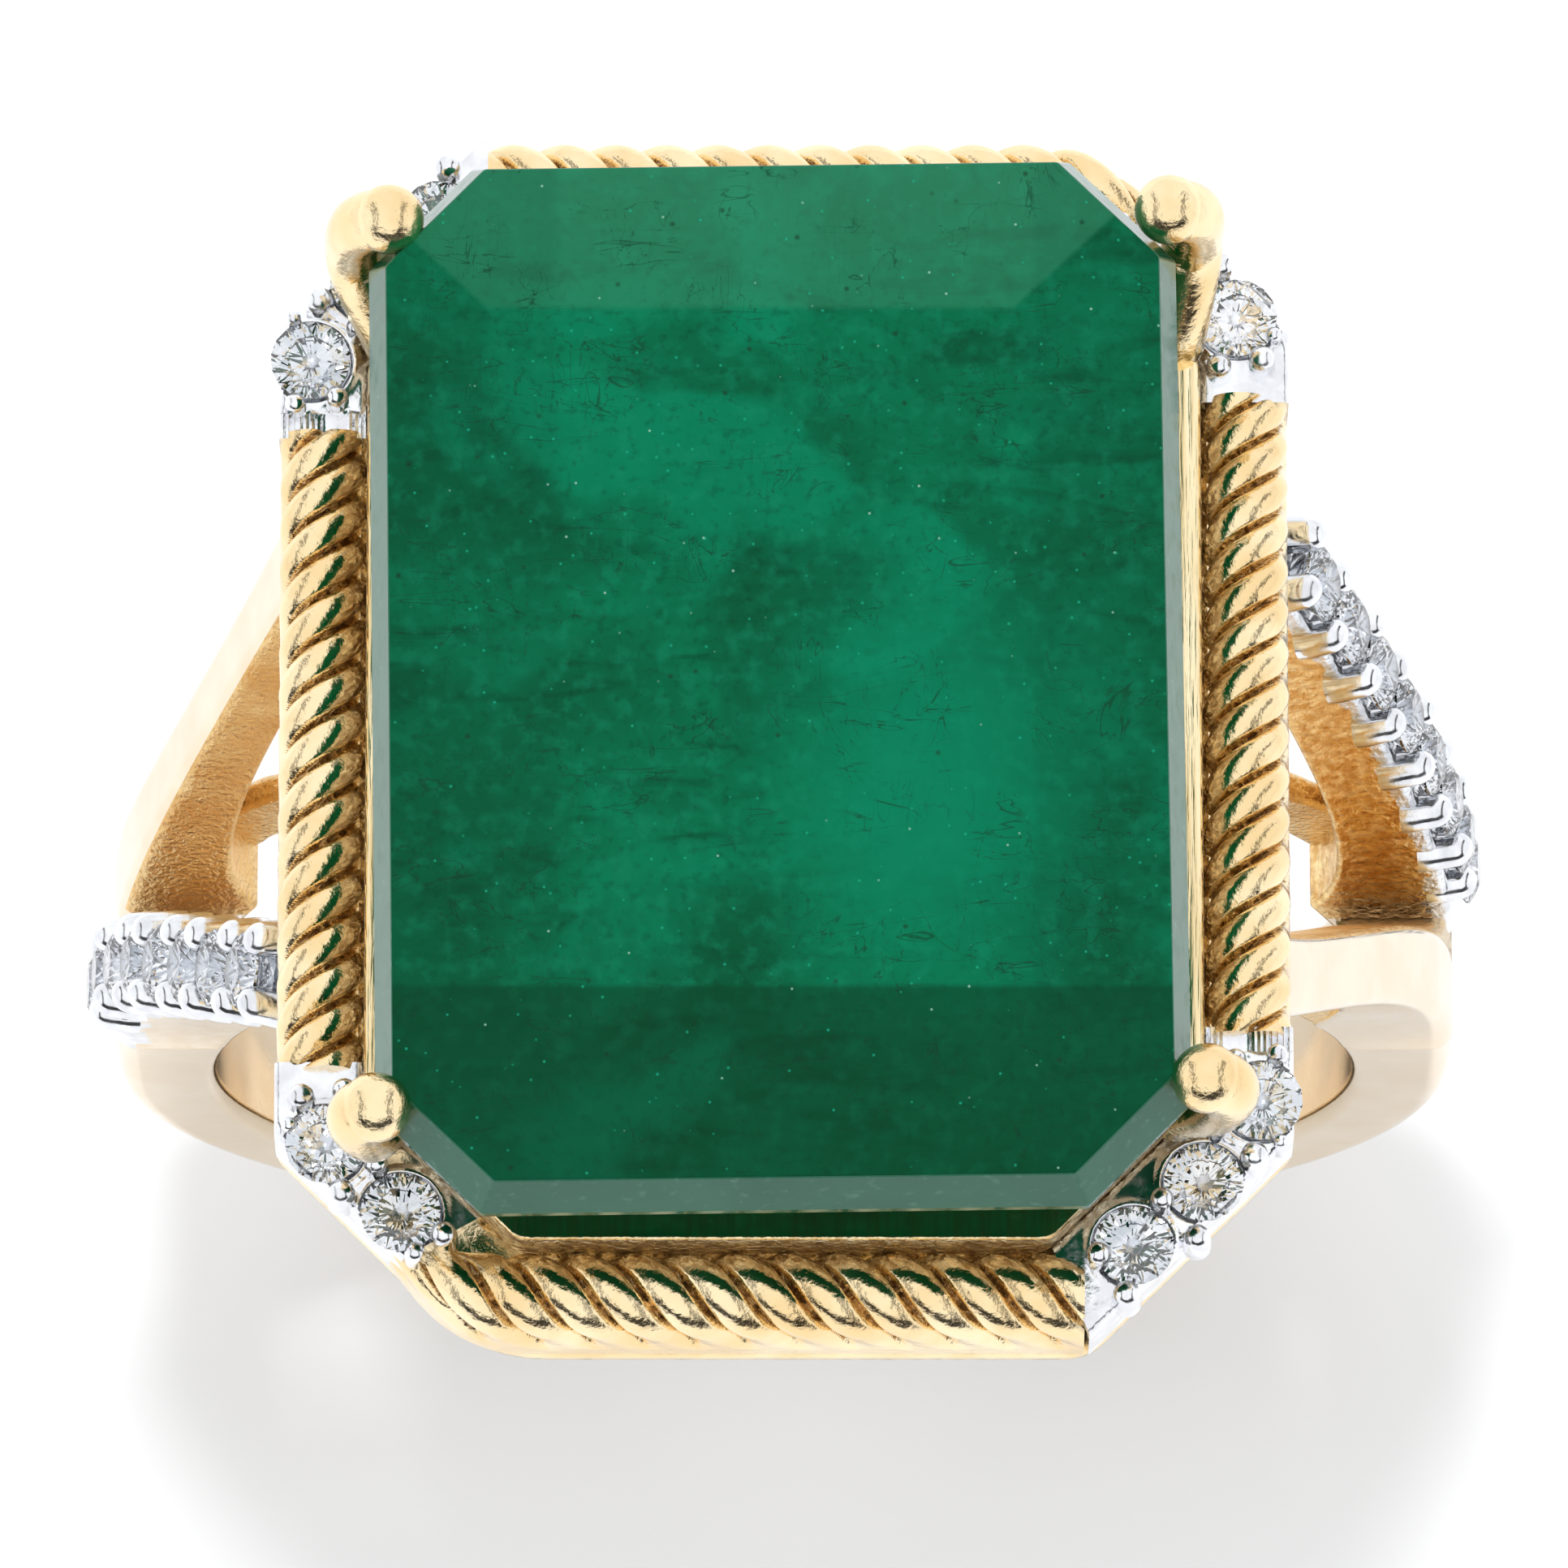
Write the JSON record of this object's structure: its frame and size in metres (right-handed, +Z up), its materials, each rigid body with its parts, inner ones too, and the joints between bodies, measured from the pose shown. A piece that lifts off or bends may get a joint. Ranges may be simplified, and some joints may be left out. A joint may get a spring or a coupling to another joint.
{
  "type": "cocktail ring",
  "caption": "Finger ring with a large emerald-cut stone in a roped octagonal head on a split, part-jewelled shank.",
  "frame": {"origin": "centre of the finger hole, half way across the shank", "axes": "+Z up through the big stone, +Y along the finger hole, +X across the head"},
  "size_m": [0.0216, 0.0186, 0.0293],
  "materials": {
    "yellow_gold": "polished yellow gold plate over silver",
    "white_metal": "rhodium-white polished top on gold",
    "emerald": "translucent mottled green stone, step cut",
    "white_stone": "clear white brilliant-cut stone"
  },
  "bodies": {
    "root": {"accent_back_left_1": "white_stone", "accent_back_left_2": "white_stone", "accent_back_left_3": "white_stone", "accent_back_right_1": "white_stone", "accent_back_right_2": "white_stone", "accent_front_left_1": "white_stone", "accent_front_left_2": "white_stone", "accent_front_right_1": "white_stone", "accent_front_right_2": "white_stone", "accent_front_right_3": "white_stone", "claw_back_left": "yellow_gold", "claw_back_right": "yellow_gold", "claw_front_left": "yellow_gold", "claw_front_right": "yellow_gold", "corner_setting_back_left": "white_metal", "corner_setting_back_right": "white_metal", "corner_setting_front_left": "white_metal", "corner_setting_front_right": "white_metal", "emerald": "emerald", "finger_rail_back": "yellow_gold", "finger_rail_front": "yellow_gold", "head_frame": "yellow_gold", "pave_left_1": "white_stone", "pave_left_2": "white_stone", "pave_left_3": "white_stone", "pave_left_4": "white_stone", "pave_left_5": "white_stone", "pave_left_6": "white_stone", "pave_left_7": "white_stone", "pave_left_8": "white_stone", "pave_right_1": "white_stone", "pave_right_2": "white_stone", "pave_right_3": "white_stone", "pave_right_4": "white_stone", "pave_right_5": "white_stone", "pave_right_6": "white_stone", "pave_right_7": "white_stone", "pave_right_8": "white_stone", "pave_shoulder_back_right": "white_metal", "pave_shoulder_front_left": "white_metal", "plain_shoulder_back_left": "yellow_gold", "plain_shoulder_front_right": "yellow_gold", "rope_back": "yellow_gold", "rope_front": "yellow_gold", "rope_left": "yellow_gold", "rope_right": "yellow_gold", "shank": "yellow_gold", "stone_seat": "yellow_gold"}
  },
  "joints": []
}
